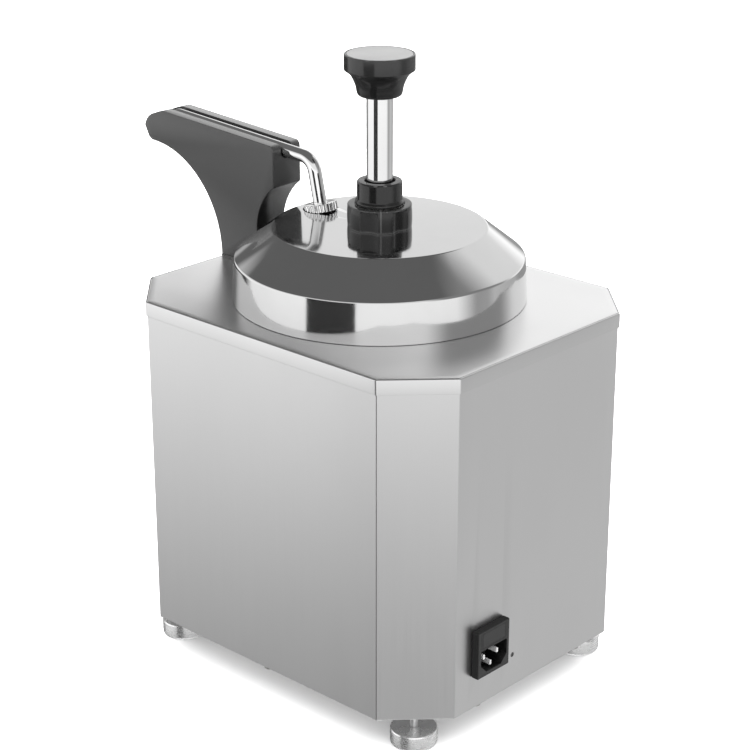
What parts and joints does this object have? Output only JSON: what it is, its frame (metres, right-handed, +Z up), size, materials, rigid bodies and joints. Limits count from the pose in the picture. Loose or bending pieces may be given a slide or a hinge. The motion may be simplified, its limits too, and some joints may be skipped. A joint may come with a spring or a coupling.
{
  "type": "heated nacho cheese dispenser",
  "caption": "Countertop heated cheese dispenser: octagonal steel cabinet, water well and pot, lid with push pump, heated spout shroud, rear mains inlet.",
  "frame": {"origin": "centre of the whole object's footprint box, at the level of the feet's undersides", "axes": "+Z up; the spout points to -Y, the mains inlet faces +Y; +X is the cabinet's left side seen from behind the spout"},
  "size_m": [0.2454, 0.3822, 0.4472],
  "materials": {
    "cabinet_steel": "brushed satin stainless sheet",
    "pan_steel": "satin stainless sheet",
    "screw_steel": "plain zinc-coated screws and nuts",
    "lid_steel": "mirror-polished stainless steel",
    "vessel_steel": "drawn satin stainless steel",
    "pump_steel": "turned stainless steel",
    "polished_steel": "polished bar and tube",
    "foot_metal": "polished foot",
    "spring_steel": "spring wire",
    "aluminium": "as extruded",
    "black_shroud": "black satin powder coat",
    "black_phenolic": "black satin moulding",
    "black_plastic": "black moulding",
    "red_lens": "red translucent lens",
    "seal_rubber": "food-grade rubber",
    "sleeve": "glass-fibre sleeving",
    "brass": "nickelled brass",
    "fuse_glass": "glass tube fuses"
  },
  "bodies": {
    "cabinet": {"top_plate": "cabinet_steel", "body_wrap": "cabinet_steel", "rear_panel": "cabinet_steel", "base_pan": "pan_steel", "pan_screws": "screw_steel", "foot_nuts": "screw_steel", "water_well": "vessel_steel", "heat_spreader": "aluminium", "heating_element": "pump_steel", "element_clamps": "screw_steel", "thermostat_body": "black_plastic", "thermostat_bulb": "brass", "dial_ring": "aluminium", "pilot_lamp": "red_lens", "switch_housing": "black_plastic", "overheat_cutout": "black_plastic", "inlet_housing": "black_plastic", "inlet_pins": "brass", "wiring_loom": "sleeve", "spout_shroud": "black_shroud", "shroud_gasket": "seal_rubber", "shroud_screws": "screw_steel", "heat_block": "aluminium", "spout_heater": "pump_steel", "heater_lead": "sleeve", "lead_grommet": "seal_rubber"},
    "pot": {"inset_pot": "vessel_steel"},
    "lid_and_pump": {"lid": "lid_steel", "lid_gasket": "seal_rubber", "pump_cylinder": "pump_steel", "rod_guide": "black_phenolic", "tube_bushing": "black_phenolic", "discharge_tube": "polished_steel", "discharge_elbow": "pump_steel", "valve_body": "pump_steel", "valve_o_ring": "seal_rubber", "ball_retainer": "pump_steel", "return_spring": "spring_steel"},
    "plunger": {"plunger_knob": "black_phenolic", "plunger_rod": "polished_steel", "piston": "pump_steel", "piston_seal": "seal_rubber"},
    "clamp_nut": {"lock_nut": "black_phenolic"},
    "tube_clamp_nut": {"tube_nut": "polished_steel"},
    "lower_ball": {"intake_ball": "pump_steel"},
    "upper_ball": {"discharge_ball": "pump_steel"},
    "thermostat_control": {"thermostat_knob": "black_plastic", "thermostat_shaft": "pump_steel"},
    "rocker": {"switch_rocker": "black_plastic"},
    "limiter_button": {"reset_button": "black_plastic"},
    "drawer": {"fuse_drawer": "black_plastic", "fuses": "fuse_glass"},
    "levelling_front_left": {"foot_front_left": "foot_metal", "stud_front_left": "screw_steel"},
    "levelling_front_right": {"foot_front_right": "foot_metal", "stud_front_right": "screw_steel"},
    "levelling_rear_left": {"foot_rear_left": "foot_metal", "stud_rear_left": "screw_steel"},
    "levelling_rear_right": {"foot_rear_right": "foot_metal", "stud_rear_right": "screw_steel"}
  },
  "joints": [
    {"name": "pot_lift", "type": "slide", "parent": "cabinet", "child": "pot", "axis": [0, 0, 1], "range_m": [0, 0.012]},
    {"name": "lid_lift", "type": "slide", "parent": "cabinet", "child": "lid_and_pump", "axis": [0, 0.342, 0.9397], "range_m": [0, 0.2075]},
    {"name": "plunger_press", "type": "slide", "parent": "lid_and_pump", "child": "plunger", "axis": [0, 0, 1], "range_m": [-0.055, 0], "stiffness_N_per_m": 260, "springref_m": 0.06, "deforming": ["return_spring"]},
    {"name": "lock_nut_turn", "type": "hinge", "parent": "lid_and_pump", "child": "clamp_nut", "pos_m": [0, 0.03815, 0.334], "axis": [0, 0, 1], "continuous": true},
    {"name": "tube_nut_turn", "type": "hinge", "parent": "lid_and_pump", "child": "tube_clamp_nut", "pos_m": [0, -0.01875, 0.3257], "axis": [0, -0.2164, 0.9763], "continuous": true},
    {"name": "intake_ball_lift", "type": "slide", "parent": "lid_and_pump", "child": "lower_ball", "axis": [0, 0, 1], "range_m": [0, 0.004]},
    {"name": "discharge_ball_lift", "type": "slide", "parent": "lid_and_pump", "child": "upper_ball", "axis": [0, 0, 1], "range_m": [0, 0.003]},
    {"name": "thermostat_turn", "type": "hinge", "parent": "cabinet", "child": "thermostat_control", "pos_m": [-0.058, -0.1088, 0.072], "axis": [0, -1, 0], "range_deg": [0, 300]},
    {"name": "rocker_tip", "type": "hinge", "parent": "cabinet", "child": "rocker", "pos_m": [0.052, -0.1048, 0.072], "axis": [1, 0, 0], "range_deg": [-16, 0]},
    {"name": "reset_press", "type": "slide", "parent": "cabinet", "child": "limiter_button", "axis": [0, -1, 0], "range_m": [0, 0.0015], "stiffness_N_per_m": 300, "springref_m": -0.001},
    {"name": "fuse_drawer_slide", "type": "slide", "parent": "cabinet", "child": "drawer", "axis": [0, 1, 0], "range_m": [0, 0.018]},
    {"name": "foot_turn_front_left", "type": "hinge", "parent": "cabinet", "child": "levelling_front_left", "pos_m": [0.0913, -0.07855, 0.006], "axis": [0, 0, 1], "continuous": true},
    {"name": "foot_turn_front_right", "type": "hinge", "parent": "cabinet", "child": "levelling_front_right", "pos_m": [-0.0913, -0.07855, 0.006], "axis": [0, 0, 1], "continuous": true},
    {"name": "foot_turn_rear_left", "type": "hinge", "parent": "cabinet", "child": "levelling_rear_left", "pos_m": [0.0913, 0.15485, 0.006], "axis": [0, 0, 1], "continuous": true},
    {"name": "foot_turn_rear_right", "type": "hinge", "parent": "cabinet", "child": "levelling_rear_right", "pos_m": [-0.0913, 0.15485, 0.006], "axis": [0, 0, 1], "continuous": true}
  ]
}
